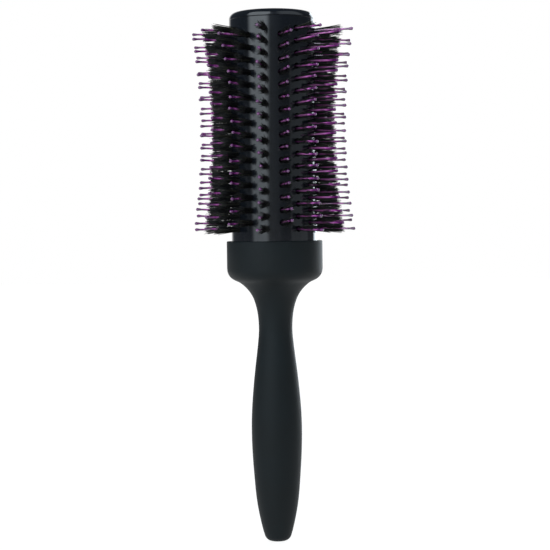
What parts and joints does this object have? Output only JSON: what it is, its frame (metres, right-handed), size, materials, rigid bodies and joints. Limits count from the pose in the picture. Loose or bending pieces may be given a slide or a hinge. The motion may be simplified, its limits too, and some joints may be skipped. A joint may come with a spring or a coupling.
{
  "type": "round barrel brush",
  "caption": "Round hair styling brush: staggered boar tufts with ball-tipped nylon pins in a gloss barrel, on a soft-skinned tapered handle.",
  "frame": {"origin": "centre of the handle's butt, on the axis", "axes": "+Z along the axis from the butt to the end cap, -Y the front, +X to the right of the front"},
  "size_m": [0.0746, 0.0746, 0.2472],
  "materials": {
    "soft_grip": "matte soft-touch",
    "core_plastic": "moulded",
    "gloss_barrel": "high gloss",
    "gloss_cap": "high gloss",
    "steel": "zinc plated",
    "boar_bristle": "natural bristle",
    "pin_nylon": "satin"
  },
  "bodies": {
    "root": {"handle_grip": "soft_grip", "handle_core": "core_plastic", "barrel": "gloss_barrel", "barrel_screw": "steel", "barrel_washer": "steel", "end_cap": "gloss_cap", "boar_tufts_01": "boar_bristle", "boar_tufts_02": "boar_bristle", "boar_tufts_03": "boar_bristle", "boar_tufts_04": "boar_bristle", "boar_tufts_05": "boar_bristle", "boar_tufts_06": "boar_bristle", "boar_tufts_07": "boar_bristle", "boar_tufts_08": "boar_bristle", "boar_tufts_09": "boar_bristle", "boar_tufts_10": "boar_bristle", "boar_tufts_11": "boar_bristle", "boar_tufts_12": "boar_bristle", "boar_tufts_13": "boar_bristle", "boar_tufts_14": "boar_bristle", "boar_tufts_15": "boar_bristle", "boar_tufts_16": "boar_bristle", "nylon_pins_01": "pin_nylon", "nylon_pins_02": "pin_nylon", "nylon_pins_03": "pin_nylon", "nylon_pins_04": "pin_nylon", "nylon_pins_05": "pin_nylon", "nylon_pins_06": "pin_nylon", "nylon_pins_07": "pin_nylon", "nylon_pins_08": "pin_nylon", "nylon_pins_09": "pin_nylon", "nylon_pins_10": "pin_nylon", "nylon_pins_11": "pin_nylon", "nylon_pins_12": "pin_nylon", "nylon_pins_13": "pin_nylon", "nylon_pins_14": "pin_nylon", "nylon_pins_15": "pin_nylon", "nylon_pins_16": "pin_nylon"}
  },
  "joints": []
}
